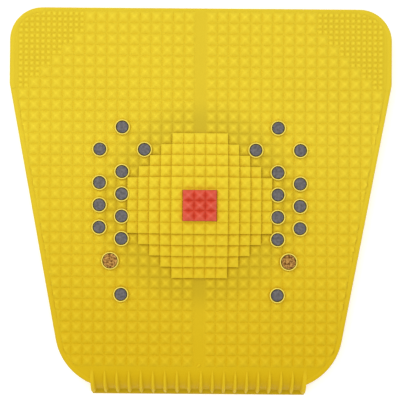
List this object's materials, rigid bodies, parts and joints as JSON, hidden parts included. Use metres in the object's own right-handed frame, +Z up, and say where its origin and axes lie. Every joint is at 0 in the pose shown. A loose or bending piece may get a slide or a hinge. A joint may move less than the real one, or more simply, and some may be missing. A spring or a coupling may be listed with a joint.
{
  "type": "acupressure foot mat",
  "caption": "Trapezoid moulded foot massage mat with pyramid grid, stepped central dome, ribbed heel apron and disc magnets in bosses.",
  "frame": {"origin": "on the floor, under the centre of the dome", "axes": "+X to the user's right, +Y to the wide toe edge, +Z up out of the pyramids"},
  "size_m": [0.3282, 0.3346, 0.04],
  "materials": {
    "yellow_plastic": "satin moulded polypropylene",
    "red_plastic": "satin moulded polypropylene",
    "ferrite": "ground sintered ferrite",
    "copper": "stamped copper, lightly tarnished"
  },
  "bodies": {
    "root": {"mat_plate": "yellow_plastic", "red_pyramid_block": "red_plastic", "magnet_left_1": "ferrite", "magnet_left_2": "ferrite", "magnet_left_3": "ferrite", "magnet_left_4": "ferrite", "magnet_left_5": "ferrite", "magnet_left_6": "ferrite", "magnet_left_7": "ferrite", "magnet_left_8": "ferrite", "magnet_left_9": "ferrite", "magnet_left_10": "ferrite", "magnet_left_11": "ferrite", "magnet_right_1": "ferrite", "magnet_right_2": "ferrite", "magnet_right_3": "ferrite", "magnet_right_4": "ferrite", "magnet_right_5": "ferrite", "magnet_right_6": "ferrite", "magnet_right_7": "ferrite", "magnet_right_8": "ferrite", "magnet_right_9": "ferrite", "magnet_right_10": "ferrite", "magnet_right_11": "ferrite", "copper_disc_left": "copper", "copper_disc_right": "copper"}
  },
  "joints": []
}
